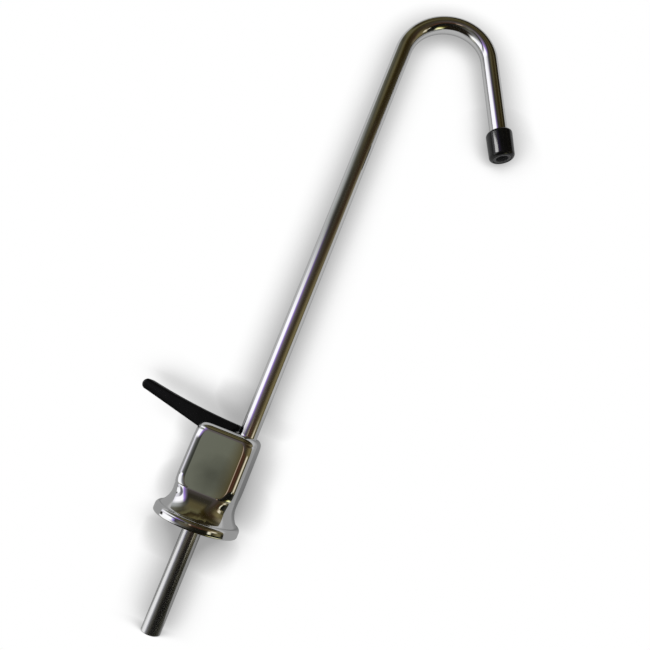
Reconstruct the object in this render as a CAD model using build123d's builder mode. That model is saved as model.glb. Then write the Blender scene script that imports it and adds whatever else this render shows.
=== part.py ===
from build123d import *
import os
from math import cos, radians, sin

# Deck-mounted jug filler. Millimetres, +Z up, the spout reaches towards +X, the lever towards -X.
# The origin is the centre of the flange's underside, on the inlet tube's axis.

# Flange and cover
flange_reach = 6.4
flange_h = 5.0
flange_top_round = 2.0
flange_bottom_round = 1.0
body_w = 32.0
body_d = 30.0
body_h = 49.2
body_corner_r = 5.0
body_top_round = 3.5
flare_h = 9.0
flare_inset = 0.15
flare_flat = 0.1
flare_steps = 4
flare_power = 2.2
corner_power = 1.5
cover_wall = 2.2
cut_over = 1.0

# Valve block, its base plate and the gasket under it
fit_gap = 0.2
gasket_t = 0.8
plate_inset = 3.4
plate_top = 4.0
block_below_top = 11.7
fixing_y = 10.2
fixing_hole_r = 1.65
fixing_depth = 12.0
gasket_fixing_r = 2.4
gasket_bore_gap = 0.4

# Screws that hold the cover on the block
cover_screw_inset = 0.1
cover_screw_r = 1.25
cover_screw_head_r = 2.35
cover_screw_head_h = 1.1
cover_screw_top = 8.2
cover_screw_slot_w = 0.6
cover_screw_slot_depth = 0.5

# Inlet tube and the adapter that carries it
tube_r = 5.0
tube_wall = 1.0
inlet_length = 54.0
inlet_end_chamfer = 0.3
inlet_seat_r = 4.6
inlet_seat_top = 8.4
seat_gap = 0.02
adapter_r = 7.0
adapter_bottom = 1.0
adapter_top = 11.3
nozzle_top = 12.5
nozzle_r = 4.0
nozzle_bore_r = 3.0
nozzle_chamfer = 0.5
adapter_ring_z = 10.0
adapter_ring_section = 1.2
spanner_slot_w = 2.0
spanner_slot_depth = 1.2

# Valve: chamber, stem, poppet and washer
chamber_r = 5.5
chamber_share = 0.5
stem_r = 1.5
running_gap = 0.05
gland_r = 3.1
gland_h = 6.0
gland_washer_t = 0.8
stem_ring_rises = (1.3, 3.9)
poppet_r = 4.6
poppet_top = 17.2
poppet_skirt = 0.6
washer_r = 4.2
washer_t = 2.2
washer_gap = 0.05
stem_foot = 15.2
stem_below_top = 1.6
washer_screw_r = 0.9
washer_screw_head_r = 2.2
washer_screw_head_h = 1.1
washer_screw_length = 5.3

# Valve spring
spring_r = 3.0
spring_wire = 0.7
spring_turns = 5.0

# Water passage from the chamber to the spout
port_r = 1.8
port_z = 20.0
passage_r = 2.2
plug_length = 2.4

# Lever, its pin and the pin across the stem
pivot_x = -9.0
pivot_below_top = 4.9
pivot_r = 1.5
ear_t = 3.5
ear_w = 7.6
ear_above_pivot = 2.5
ear_round = 2.0
lever_w = 10.0
lever_side_gap = 0.3
lever_reach = 44.2
lever_rise = 11.3
lever_tip_r = 2.85
lever_inner = 10.5
lever_top_rise = 8.6
lever_hollow = 1.0
lever_under = 1.1
lever_edge_round = 1.2
hub_r = 3.0
lift_pin_r = 0.8
lift_pin_below_top = 3.0
lift_pin_length = 6.4
lift_gap = 0.3
pocket_h = 3.3
pocket_back = 2.6
slot_side_gap = 0.5
slot_end_gap = 0.5
slot_depth = 6.7

# Spout
spout_x = 8.4
spout_above_body = 245.1
hook_r = 26.5
hook_turn = 155.75
leg_length = 47.0
leg_in_tip = 12.3
bush_wall = 0.55
bush_length = 2.8
bush_below_top = 0.4

# Spigot that swivels in the block
spigot_r = 3.9
spigot_bore_r = 1.9
spigot_web = 2.0
spigot_end_gap = 0.3
spigot_collar_gap = 0.3
spigot_collar_h = 1.5
spigot_shank_h = 8.0
spigot_groove_r = 2.75
spigot_ring_section = 1.3
spigot_ring_shares = (0.28, 0.64)
clip_depth = 3.5
clip_t = 1.0
clip_groove_r = 3.0
clip_gap = 0.1
clip_half_w = 4.8
clip_reach = 3.9

# Outlet tip and the ring in its mouth
tip_length = 17.0
tip_top_r = 7.45
tip_bottom_r = 7.2
tip_shoulder_r = 1.5
tip_chamfer = 1.6
mouth_ring_r = 5.3
mouth_ring_bore_r = 3.5
mouth_ring_inset = 0.3

# Values worked out from the sizes above
flange_r = body_w / 2 + flange_reach
plate_r = flange_r - plate_inset
cover_screw_x = body_w / 2 - cover_screw_inset
flare_top = flange_h + flare_h
roof_z = body_h - cover_wall
block_top = body_h - block_below_top
pivot_z = body_h - pivot_below_top
stem_top = body_h - stem_below_top
lift_pin_z = body_h - lift_pin_below_top
slot_sill = body_h - slot_depth
bush_top = body_h - bush_below_top
bush_bottom = bush_top - bush_length
chamber_top = nozzle_top + chamber_share * (block_top - nozzle_top)
gland_top = chamber_top + gland_h
stem_ring_z = [chamber_top + rise for rise in stem_ring_rises]
spigot_socket_floor = chamber_top + spigot_web
spigot_bottom = spigot_socket_floor + spigot_end_gap
clip_z = block_top - clip_depth
spigot_ring_z = [spigot_bottom + share * (clip_z - spigot_bottom) for share in spigot_ring_shares]
spout_straight_top = body_h + spout_above_body
cavity_w = body_w - 2 * cover_wall
cavity_d = body_d - 2 * cover_wall
cavity_corner_r = body_corner_r - cover_wall
block_w = cavity_w - 2 * fit_gap
block_d = cavity_d - 2 * fit_gap
block_corner_r = cavity_corner_r - fit_gap
bush_r = tube_r + running_gap + bush_wall
tube_bore_r = tube_r - tube_wall
lever_end_x = pivot_x + lever_inner
slot_w = lever_w + 2 * slot_side_gap
spout_base = block_top + spigot_collar_gap + spigot_collar_h
spring_top = chamber_top - gland_washer_t


def circle_at(z, r, height, x=0.0, y=0.0, mode=Mode.ADD):
    """Upright cylinder from the level z, added to or cut from the open part."""
    with BuildSketch(Plane.XY.offset(z)) as disc:
        with Locations((x, y)):
            Circle(r)
    extrude(disc.sketch, amount=height, mode=mode)


def ring_at(z, outer_r, inner_r, height, x=0.0):
    """Upright tube from the level z."""
    with BuildSketch(Plane.XY.offset(z)) as washer:
        with Locations((x, 0)):
            Circle(outer_r)
            Circle(inner_r, mode=Mode.SUBTRACT)
    extrude(washer.sketch, amount=height)


def flare_section(t):
    """Width, depth and corner radius of the flare at the share t of its height."""
    foot_half = flange_r - flange_top_round - flare_inset
    spread = (1 - t) ** flare_power
    half_w = body_w / 2 + (foot_half - body_w / 2) * spread
    half_d = body_d / 2 + (foot_half - body_d / 2) * spread
    corner = body_corner_r + (foot_half - flare_flat - body_corner_r) * (1 - t) ** corner_power
    return 2 * half_w, 2 * half_d, corner


# Cover: a rounded box that flares out into a round flange, open below, with the lever's slot
with BuildPart() as cover:
    with BuildSketch():
        Circle(flange_r)
    extrude(amount=flange_h)
    fillet(cover.edges().group_by(Axis.Z)[-1], flange_top_round)
    fillet(cover.edges().group_by(Axis.Z)[0], flange_bottom_round)
    for step in range(flare_steps + 1):
        share = step / flare_steps
        width, depth, corner = flare_section(share)
        with BuildSketch(Plane.XY.offset(flange_h + flare_h * share)):
            RectangleRounded(width, depth, corner)
    loft()
    with BuildSketch(Plane.XY.offset(flare_top)):
        RectangleRounded(body_w, body_d, body_corner_r)
    extrude(amount=body_h - flare_top)
    fillet(cover.edges().group_by(Axis.Z)[-1], body_top_round)
    # Cavity for the valve block, in two steps
    with BuildSketch(Plane.XY.offset(plate_top)):
        RectangleRounded(cavity_w, cavity_d, cavity_corner_r)
    extrude(amount=roof_z - plate_top, mode=Mode.SUBTRACT)
    circle_at(0, plate_r + fit_gap, plate_top, mode=Mode.SUBTRACT)
    # Slot for the lever through the roof and the back wall
    slot_far = lever_end_x + slot_end_gap
    slot_near = -body_w / 2 - cut_over
    with BuildSketch(Plane.XY.offset(slot_sill)):
        with Locations(((slot_far + slot_near) / 2, 0)):
            Rectangle(slot_far - slot_near, slot_w)
    extrude(amount=body_h + cut_over - slot_sill, mode=Mode.SUBTRACT)
    # Hole for the spout's bush
    circle_at(bush_bottom, bush_r, body_h + cut_over - bush_bottom, x=spout_x, mode=Mode.SUBTRACT)
    # Blind holes for the screws from the base plate
    for side in (-1, 1):
        circle_at(plate_top, cover_screw_r, cover_screw_top - plate_top, x=side * cover_screw_x,
                  mode=Mode.SUBTRACT)

# Valve block: brass casting with a round base plate and two ears for the lever's pin
with BuildPart() as valve_block:
    circle_at(gasket_t, plate_r, plate_top - gasket_t)
    with BuildSketch(Plane.XY.offset(plate_top)):
        RectangleRounded(block_w, block_d, block_corner_r)
    extrude(amount=block_top - plate_top)
    ear_mid_y = lever_w / 2 + lever_side_gap + ear_t / 2
    for side in (-1, 1):
        ear_h = pivot_z + ear_above_pivot - block_top
        with BuildSketch(Plane.XZ.offset(-side * ear_mid_y - ear_t / 2)):
            with Locations((pivot_x, block_top + ear_h / 2)):
                ear = Rectangle(ear_w, ear_h)
            fillet(ear.vertices().group_by(Axis.Z)[-1], ear_round)
        extrude(amount=ear_t)
    # Bore of the adapter, valve chamber, gland and stem guide, one above the other
    circle_at(gasket_t, adapter_r, adapter_top - gasket_t, mode=Mode.SUBTRACT)
    circle_at(adapter_top, chamber_r, chamber_top - adapter_top, mode=Mode.SUBTRACT)
    circle_at(chamber_top, gland_r, gland_top - chamber_top, mode=Mode.SUBTRACT)
    circle_at(gland_top, stem_r + running_gap, block_top - gland_top, mode=Mode.SUBTRACT)
    # Port to the side, passage up and the spout's socket
    with BuildSketch(Plane.YZ):
        with Locations((0, port_z)):
            Circle(port_r)
    extrude(amount=block_w / 2, mode=Mode.SUBTRACT)
    circle_at(port_z, passage_r, spigot_socket_floor - port_z, x=spout_x, mode=Mode.SUBTRACT)
    circle_at(spigot_socket_floor, spigot_r + running_gap, block_top - spigot_socket_floor,
              x=spout_x, mode=Mode.SUBTRACT)
    # Slot for the spout's clip, open to the front
    clip_slot_near = spout_x - clip_reach - clip_gap
    with BuildSketch(Plane.XY.offset(clip_z - clip_gap)):
        with Locations(((clip_slot_near + block_w / 2) / 2, 0)):
            Rectangle(block_w / 2 - clip_slot_near, 2 * (clip_half_w + clip_gap))
    extrude(amount=clip_t + 2 * clip_gap, mode=Mode.SUBTRACT)
    # Hole for the lever's pin through both ears
    with BuildSketch(Plane.XZ.offset(-body_d / 2)):
        with Locations((pivot_x, pivot_z)):
            Circle(pivot_r)
    extrude(amount=body_d, mode=Mode.SUBTRACT)
    # Threaded holes for the fixings from beneath and countersunk holes for the cover's screws
    for side in (-1, 1):
        circle_at(gasket_t, fixing_hole_r, fixing_depth, y=side * fixing_y, mode=Mode.SUBTRACT)
        circle_at(gasket_t, cover_screw_r, plate_top - gasket_t, x=side * cover_screw_x,
                  mode=Mode.SUBTRACT)
        with Locations((side * cover_screw_x, 0, gasket_t + cover_screw_head_h / 2)):
            Cone(cover_screw_head_r, cover_screw_r, cover_screw_head_h, mode=Mode.SUBTRACT)

# Countersunk screws from the base plate up into the cover
with BuildPart() as cover_screws:
    for side in (-1, 1):
        circle_at(gasket_t, cover_screw_r, cover_screw_top - gasket_t, x=side * cover_screw_x)
        with Locations((side * cover_screw_x, 0, gasket_t + cover_screw_head_h / 2)):
            Cone(cover_screw_head_r, cover_screw_r, cover_screw_head_h)
        with BuildSketch(Plane.XY.offset(gasket_t)):
            with Locations((side * cover_screw_x, 0)):
                Rectangle(2 * cover_screw_head_r, cover_screw_slot_w)
        extrude(amount=cover_screw_slot_depth, mode=Mode.SUBTRACT)

# Gasket in the flange's recess, flush with the deck
with BuildPart() as base_gasket:
    circle_at(0, plate_r, gasket_t)
    circle_at(0, adapter_r + gasket_bore_gap, gasket_t, mode=Mode.SUBTRACT)
    for side in (-1, 1):
        circle_at(0, gasket_fixing_r, gasket_t, y=side * fixing_y, mode=Mode.SUBTRACT)

# Adapter screwed in from below: tube socket, ring groove and the valve's seat on top
with BuildPart() as inlet_adapter:
    with BuildSketch(Plane.XZ):
        with BuildLine():
            groove_low = adapter_ring_z - adapter_ring_section / 2
            groove_high = adapter_ring_z + adapter_ring_section / 2
            groove_r = adapter_r - adapter_ring_section
            Polyline((inlet_seat_r + seat_gap, adapter_bottom), (adapter_r, adapter_bottom),
                     (adapter_r, groove_low), (groove_r, groove_low), (groove_r, groove_high),
                     (adapter_r, groove_high), (adapter_r, adapter_top), (nozzle_r, adapter_top),
                     (nozzle_r, nozzle_top - nozzle_chamfer), (nozzle_r - nozzle_chamfer, nozzle_top),
                     (nozzle_bore_r, nozzle_top), (nozzle_bore_r, inlet_seat_top),
                     (inlet_seat_r + seat_gap, inlet_seat_top), close=True)
        make_face()
    revolve(axis=Axis.Z)
    with BuildSketch(Plane.XY.offset(adapter_bottom)):
        Rectangle(2 * adapter_r, spanner_slot_w)
    extrude(amount=spanner_slot_depth, mode=Mode.SUBTRACT)

# Sealing ring round the adapter
with BuildPart() as adapter_o_ring:
    with Locations((0, 0, adapter_ring_z)):
        Torus(adapter_r - adapter_ring_section / 2, adapter_ring_section / 2 - seat_gap)

# Inlet tube: plain drawn tube, its upper end sized to the adapter's socket
with BuildPart() as inlet_tube:
    circle_at(-inlet_length, tube_r, inlet_length)
    circle_at(0, inlet_seat_r, inlet_seat_top)
    circle_at(-inlet_length, tube_bore_r, inlet_length + inlet_seat_top, mode=Mode.SUBTRACT)
    chamfer(inlet_tube.edges().group_by(Axis.Z)[0], inlet_end_chamfer)

# Valve stem, from the poppet up through the gland to the lever
with BuildPart() as valve_stem:
    circle_at(stem_foot, stem_r, stem_top - stem_foot)
    circle_at(stem_foot, washer_screw_r, washer_screw_length - (stem_foot - nozzle_top),
              mode=Mode.SUBTRACT)
    with BuildSketch(Plane.XZ.offset(-stem_r)):
        with Locations((0, lift_pin_z)):
            Circle(lift_pin_r)
    extrude(amount=2 * stem_r, mode=Mode.SUBTRACT)

# Pin across the stem's top, which the lever lifts
with BuildPart() as lift_pin:
    with BuildSketch(Plane.XZ.offset(-lift_pin_length / 2)):
        with Locations((0, lift_pin_z)):
            Circle(lift_pin_r)
    extrude(amount=lift_pin_length)

# Poppet with a cup for the washer
with BuildPart() as valve_poppet:
    circle_at(nozzle_top + poppet_skirt, poppet_r, poppet_top - nozzle_top - poppet_skirt)
    circle_at(nozzle_top + poppet_skirt, washer_r + washer_gap, washer_t - poppet_skirt,
              mode=Mode.SUBTRACT)
    circle_at(nozzle_top, washer_screw_r, poppet_top - nozzle_top, mode=Mode.SUBTRACT)
    circle_at(stem_foot, stem_r, poppet_top - stem_foot, mode=Mode.SUBTRACT)

# Rubber washer that closes on the seat
with BuildPart() as seat_washer:
    ring_at(nozzle_top, washer_r, washer_screw_r, washer_t)

# Screw that holds washer and poppet on the stem
with BuildPart() as washer_screw:
    circle_at(nozzle_top - washer_screw_head_h, washer_screw_head_r, washer_screw_head_h)
    circle_at(nozzle_top, washer_screw_r, washer_screw_length)

# Washer that keeps the stem's rings in the gland and carries the spring
with BuildPart() as gland_washer:
    ring_at(spring_top, chamber_r - seat_gap, stem_r + running_gap, gland_washer_t)

# Two sealing rings on the stem
with BuildPart() as stem_o_rings:
    ring_mid_r = (gland_r + stem_r + running_gap) / 2
    ring_tube_r = (gland_r - stem_r - running_gap) / 2 - seat_gap / 2
    for level in stem_ring_z:
        with Locations((0, 0, level)):
            Torus(ring_mid_r, ring_tube_r)

# Valve spring between the poppet and the gland washer, one unbroken helix
with BuildPart() as valve_spring:
    coil_rise = spring_top - poppet_top - spring_wire
    coil_start = poppet_top + spring_wire / 2
    with BuildLine(Plane.XY.offset(coil_start)):
        coil = Helix(pitch=coil_rise / spring_turns, height=coil_rise, radius=spring_r)
    with BuildSketch(Plane(origin=coil @ 0, z_dir=coil % 0)):
        Circle(spring_wire / 2)
    sweep(path=coil, is_frenet=True)

# Plug that closes the outer end of the port's drilling
with BuildPart() as port_plug:
    with BuildSketch(Plane.YZ.offset(block_w / 2 - plug_length)):
        with Locations((0, port_z)):
            Circle(port_r)
    extrude(amount=plug_length)

# Lever: one moulded bar with a hub, a rounded paddle end and a fork for the stem's pin
with BuildPart() as lever:
    tip_x = pivot_x - lever_reach
    tip_z = pivot_z + lever_rise
    top_z = pivot_z + lever_top_rise
    neck_x = tip_x + lever_tip_r
    ledge_z = lift_pin_z - lift_pin_r - lift_gap
    with BuildSketch(Plane.XZ.offset(-lever_w / 2)):
        with BuildLine():
            ThreePointArc((neck_x, tip_z - lever_tip_r), (tip_x, tip_z), (neck_x, tip_z + lever_tip_r))
            chord_mid_x = (neck_x + lever_end_x) / 2
            chord_mid_z = (tip_z + lever_tip_r + top_z) / 2
            ThreePointArc((neck_x, tip_z + lever_tip_r), (chord_mid_x, chord_mid_z - lever_hollow),
                          (lever_end_x, top_z))
            Polyline((lever_end_x, top_z), (lever_end_x, pivot_z - lever_under),
                     (pivot_x, pivot_z - lever_under), (neck_x, tip_z - lever_tip_r))
        make_face()
    extrude(amount=lever_w)
    fillet(lever.faces().filter_by(Axis.Y).edges(), lever_edge_round)
    with BuildSketch(Plane.XZ.offset(-lever_w / 2)):
        with Locations((pivot_x, pivot_z)):
            Circle(hub_r)
    extrude(amount=lever_w)
    with BuildSketch(Plane.XZ.offset(-lever_w / 2)):
        with Locations((pivot_x, pivot_z)):
            Circle(pivot_r + running_gap)
    extrude(amount=lever_w, mode=Mode.SUBTRACT)
    # Pocket for the stem's pin and slot for the stem, both open at the lever's end
    pocket_mid_x = (lever_end_x + cut_over - pocket_back) / 2
    pocket_length = lever_end_x + cut_over + pocket_back
    with BuildSketch(Plane.XY.offset(ledge_z)):
        with Locations((pocket_mid_x, 0)):
            Rectangle(pocket_length, lift_pin_length + 2 * lift_gap)
    extrude(amount=pocket_h, mode=Mode.SUBTRACT)
    with BuildSketch(Plane.XY.offset(pivot_z - lever_under - cut_over)):
        with Locations((pocket_mid_x, 0)):
            Rectangle(pocket_length, 2 * (stem_r + lift_gap))
    extrude(amount=ledge_z + lever_under + cut_over - pivot_z, mode=Mode.SUBTRACT)

# Pin that the lever turns on
with BuildPart() as lever_pin:
    pin_length = lever_w + 2 * (lever_side_gap + ear_t)
    with BuildSketch(Plane.XZ.offset(-pin_length / 2)):
        with Locations((pivot_x, pivot_z)):
            Circle(pivot_r)
    extrude(amount=pin_length)

# Spout: one bent tube, upright, hook and a leg that leans outwards
with BuildPart() as spout_tube:
    with BuildLine(Plane.XZ) as spout_path:
        upright = Line((spout_x, spout_base), (spout_x, spout_straight_top))
        hook = JernArc(upright @ 1, upright % 1, hook_r, -hook_turn)
        leg_way = (hook % 1).normalized()
        Line(hook @ 1, (hook @ 1) + leg_way * (leg_length + leg_in_tip))
    with BuildSketch(Plane.XY.offset(spout_base)):
        with Locations((spout_x, 0)):
            Circle(tube_r)
            Circle(tube_bore_r, mode=Mode.SUBTRACT)
    sweep(path=spout_path.line)

# Bush in the cover's roof that guides the spout
with BuildPart() as spout_bush:
    ring_at(bush_bottom, bush_r, tube_r + running_gap, bush_top - bush_bottom, x=spout_x)

# Spigot pressed into the spout's foot, with two ring grooves and a clip groove
with BuildPart() as spout_spigot:
    collar_z = block_top + spigot_collar_gap
    circle_at(spigot_bottom, spigot_r, collar_z - spigot_bottom, x=spout_x)
    circle_at(collar_z, tube_r, spigot_collar_h, x=spout_x)
    circle_at(spout_base, tube_bore_r, spigot_shank_h, x=spout_x)
    circle_at(spigot_bottom, spigot_bore_r, spout_base + spigot_shank_h - spigot_bottom, x=spout_x,
              mode=Mode.SUBTRACT)
    groove_list = [(level - spigot_ring_section / 2, spigot_groove_r, spigot_ring_section)
                   for level in spigot_ring_z]
    groove_list.append((clip_z - clip_gap, clip_groove_r, clip_t + 2 * clip_gap))
    for low, inner_r, height in groove_list:
        with BuildSketch(Plane.XY.offset(low)):
            with Locations((spout_x, 0)):
                Circle(spigot_r)
                Circle(inner_r, mode=Mode.SUBTRACT)
        extrude(amount=height, mode=Mode.SUBTRACT)

# Two sealing rings on the spigot
with BuildPart() as spout_o_rings:
    for level in spigot_ring_z:
        with Locations((spout_x, 0, level)):
            Torus((spigot_groove_r + spigot_r) / 2, (spigot_r - spigot_groove_r) / 2 - seat_gap)

# Flat clip that straddles the spigot's groove
with BuildPart() as spout_clip:
    clip_near = spout_x - clip_reach
    clip_far = block_w / 2 - clip_gap
    with BuildSketch(Plane.XY.offset(clip_z)):
        with Locations(((clip_near + clip_far) / 2, 0)):
            Rectangle(clip_far - clip_near, 2 * clip_half_w)
        with Locations((spout_x, 0)):
            Circle(clip_groove_r + clip_gap, mode=Mode.SUBTRACT)
        with Locations((spout_x - clip_reach / 2, 0)):
            Rectangle(clip_reach, 2 * (clip_groove_r + clip_gap), mode=Mode.SUBTRACT)
    extrude(amount=clip_t)

# Outlet tip: rubber nozzle pushed over the spout's end
leg_turn = radians(hook_turn)
tip_origin = (
    spout_x + hook_r * (1 - cos(leg_turn)) + leg_length * sin(leg_turn),
    0,
    spout_straight_top + hook_r * sin(leg_turn) + leg_length * cos(leg_turn),
)
tip_plane = Plane(origin=tip_origin, x_dir=(0, 1, 0), z_dir=(sin(leg_turn), 0, cos(leg_turn)))
with BuildPart(tip_plane) as outlet_tip:
    with BuildSketch(Plane(origin=tip_origin, x_dir=tip_plane.x_dir, z_dir=-tip_plane.y_dir)):
        with BuildLine():
            Polyline((tube_r, 0), (tip_top_r - tip_shoulder_r, 0))
            RadiusArc((tip_top_r - tip_shoulder_r, 0), (tip_top_r, tip_shoulder_r), tip_shoulder_r)
            Polyline((tip_top_r, tip_shoulder_r), (tip_bottom_r, tip_length - tip_chamfer),
                     (tip_bottom_r - tip_chamfer, tip_length), (mouth_ring_r, tip_length),
                     (mouth_ring_r, leg_in_tip), (tube_r, leg_in_tip), (tube_r, 0))
        make_face()
    revolve(axis=Axis(tip_origin, tip_plane.z_dir))

# Ring in the tip's mouth that straightens the stream
with BuildPart() as outlet_ring:
    with BuildSketch(tip_plane.offset(leg_in_tip)):
        Circle(mouth_ring_r)
        Circle(mouth_ring_bore_r, mode=Mode.SUBTRACT)
    extrude(amount=tip_length - mouth_ring_inset - leg_in_tip)

parts = {
    "cover": cover,
    "valve_block": valve_block,
    "cover_screws": cover_screws,
    "base_gasket": base_gasket,
    "inlet_adapter": inlet_adapter,
    "adapter_o_ring": adapter_o_ring,
    "inlet_tube": inlet_tube,
    "valve_stem": valve_stem,
    "lift_pin": lift_pin,
    "valve_poppet": valve_poppet,
    "seat_washer": seat_washer,
    "washer_screw": washer_screw,
    "gland_washer": gland_washer,
    "stem_o_rings": stem_o_rings,
    "valve_spring": valve_spring,
    "port_plug": port_plug,
    "lever": lever,
    "lever_pin": lever_pin,
    "spout_tube": spout_tube,
    "spout_bush": spout_bush,
    "spout_spigot": spout_spigot,
    "spout_o_rings": spout_o_rings,
    "spout_clip": spout_clip,
    "outlet_tip": outlet_tip,
    "outlet_ring": outlet_ring,
}

os.makedirs("parts", exist_ok=True)
for name, piece in parts.items():
    piece.part.label = name
    export_step(piece.part, f"parts/{name}.step")
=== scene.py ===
import math

import bpy
from mathutils import Matrix, Vector


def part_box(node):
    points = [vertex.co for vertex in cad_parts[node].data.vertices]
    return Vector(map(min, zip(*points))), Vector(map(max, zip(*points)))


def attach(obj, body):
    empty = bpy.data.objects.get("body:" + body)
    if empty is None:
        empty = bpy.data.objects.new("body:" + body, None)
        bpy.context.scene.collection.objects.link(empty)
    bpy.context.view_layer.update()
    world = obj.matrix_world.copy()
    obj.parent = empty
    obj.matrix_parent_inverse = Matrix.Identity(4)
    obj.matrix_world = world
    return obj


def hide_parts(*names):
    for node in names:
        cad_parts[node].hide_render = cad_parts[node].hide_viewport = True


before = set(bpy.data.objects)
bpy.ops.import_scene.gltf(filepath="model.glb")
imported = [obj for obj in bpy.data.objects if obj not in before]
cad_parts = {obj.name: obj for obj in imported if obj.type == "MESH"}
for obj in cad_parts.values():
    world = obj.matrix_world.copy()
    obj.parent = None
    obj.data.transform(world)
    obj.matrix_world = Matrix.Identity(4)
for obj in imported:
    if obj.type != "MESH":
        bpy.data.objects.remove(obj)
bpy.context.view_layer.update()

# Camera: a compact camera in front of the tap and a little above its cover. It looks up along the
# spout and is turned, so that the tap leans to the right in the picture.
MM = 0.001
camera_place = Vector((46.5, -300.9, 60.6)) * MM
camera_yaw = math.radians(4.13)
camera_pitch = math.radians(10.96)
camera_lean = math.radians(21.39)
camera_lens = 31.39
level_right = Vector((math.cos(camera_yaw), math.sin(camera_yaw), 0))
looking = Vector((-math.cos(camera_pitch) * math.sin(camera_yaw),
                  math.cos(camera_pitch) * math.cos(camera_yaw), math.sin(camera_pitch)))
level_up = level_right.cross(looking)
camera_right = math.cos(camera_lean) * level_right + math.sin(camera_lean) * level_up
camera_up = math.cos(camera_lean) * level_up - math.sin(camera_lean) * level_right
camera_data = bpy.data.cameras.new("camera")
camera_data.lens = camera_lens
camera_data.sensor_width = 36
camera_data.clip_start = 0.01
camera = bpy.data.objects.new("camera", camera_data)
bpy.context.scene.collection.objects.link(camera)
turn = Matrix((camera_right, camera_up, -looking)).transposed().to_4x4()
camera.matrix_world = Matrix.Translation(camera_place) @ turn
bpy.context.scene.camera = camera

# Inlet tube: drawn stainless tube, plain cut and lightly chamfered at its lower end. It keeps the
# satin finish of drawing, with fine lines along its length.
tube_r = 5.0 * MM
tube_wall = 1.0 * MM
inlet_low, inlet_high = (corner.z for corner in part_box("inlet_tube"))
inlet_seat_r = 4.95 * MM
end_chamfer = 0.3 * MM
smooth_angle = math.radians(32)
turn_segments = 96
touching = 1e-6


def deselect():
    """Nothing selected and no object in edit mode."""
    if bpy.context.object and bpy.context.object.mode != "OBJECT":
        bpy.ops.object.mode_set(mode="OBJECT")
    bpy.ops.object.select_all(action="DESELECT")


def turned(name, profile):
    """Turned piece about Z, drawn from a ring at the first (radius, height) through the others."""
    deselect()
    radius, height = profile[0]
    bpy.ops.mesh.primitive_circle_add(vertices=turn_segments, radius=radius)
    piece = bpy.context.object
    piece.name = name
    bpy.ops.object.mode_set(mode="EDIT")
    bpy.ops.mesh.select_all(action="SELECT")
    bpy.ops.transform.translate(value=(0, 0, height))
    for next_radius, next_height in profile[1:]:
        bpy.ops.mesh.extrude_region_move(
            TRANSFORM_OT_translate={"value": (0, 0, next_height - height)})
        grow = next_radius / radius
        bpy.ops.transform.resize(value=(grow, grow, 1), center_override=(0, 0, next_height))
        radius, height = next_radius, next_height
    bpy.ops.mesh.select_all(action="SELECT")
    bpy.ops.mesh.remove_doubles(threshold=touching)
    bpy.ops.mesh.normals_make_consistent(inside=False)
    bpy.ops.object.mode_set(mode="OBJECT")
    bpy.ops.object.shade_smooth_by_angle(angle=smooth_angle)
    return piece


def start_material(name):
    """New material with its shader, and the Object coordinates that its textures read."""
    material = bpy.data.materials.new(name)
    material.use_nodes = True
    nodes = material.node_tree.nodes
    shader = nodes["Principled BSDF"]
    place = nodes.new("ShaderNodeTexCoord").outputs["Object"]
    return material, nodes, material.node_tree.links, shader, place


def start_group(name, inputs, outputs):
    """New shader node group with float or vector inputs and float outputs."""
    group = bpy.data.node_groups.new(name, "ShaderNodeTree")
    for label, kind, value in inputs:
        socket = group.interface.new_socket(label, in_out="INPUT", socket_type=kind)
        if value is not None:
            socket.default_value = value
    for label in outputs:
        group.interface.new_socket(label, in_out="OUTPUT", socket_type="NodeSocketFloat")
    entry = group.nodes.new("NodeGroupInput")
    leave = group.nodes.new("NodeGroupOutput")
    return group, entry, leave


def noise(nodes, links, vector, scale, detail=3.0, roughness=0.5):
    """Noise texture over the given coordinates."""
    texture = nodes.new("ShaderNodeTexNoise")
    texture.inputs["Scale"].default_value = scale
    texture.inputs["Detail"].default_value = detail
    texture.inputs["Roughness"].default_value = roughness
    links.new(vector, texture.inputs["Vector"])
    return texture.outputs["Fac"]


def remap(nodes, links, value, low, high, new_low, new_high):
    """Linear map of a value, clamped at both ends."""
    node = nodes.new("ShaderNodeMapRange")
    node.inputs["From Min"].default_value = low
    node.inputs["From Max"].default_value = high
    node.inputs["To Min"].default_value = new_low
    node.inputs["To Max"].default_value = new_high
    links.new(value, node.inputs["Value"])
    return node.outputs["Result"]


def two_tone(nodes, links, value, dark, light):
    """Colour between two tones by a value from 0 to 1."""
    node = nodes.new("ShaderNodeMix")
    node.data_type = "RGBA"
    links.new(value, node.inputs["Factor"])
    node.inputs["A"].default_value = (*dark, 1)
    node.inputs["B"].default_value = (*light, 1)
    return node.outputs["Result"]


# Streaks of drawn and turned metal: long fine lines one way, and cloudy patches over them. The
# inlet tube, the brass and the small steel parts share them.
streak_group, entry, leave = start_group(
    "drawn_streaks",
    [("Place", "NodeSocketVector", None), ("Across", "NodeSocketFloat", 900.0),
     ("Along", "NodeSocketFloat", 12.0)],
    ["Streak", "Patch"])
group_nodes, group_links = streak_group.nodes, streak_group.links
stretch = group_nodes.new("ShaderNodeCombineXYZ")
group_links.new(entry.outputs["Across"], stretch.inputs["X"])
group_links.new(entry.outputs["Across"], stretch.inputs["Y"])
group_links.new(entry.outputs["Along"], stretch.inputs["Z"])
scaled = group_nodes.new("ShaderNodeVectorMath")
scaled.operation = "MULTIPLY"
group_links.new(entry.outputs["Place"], scaled.inputs[0])
group_links.new(stretch.outputs["Vector"], scaled.inputs[1])
group_links.new(noise(group_nodes, group_links, scaled.outputs["Vector"], 1.0, 4.0, 0.6),
                leave.inputs["Streak"])
group_links.new(noise(group_nodes, group_links, entry.outputs["Place"], 60.0, 2.0),
                leave.inputs["Patch"])


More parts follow.
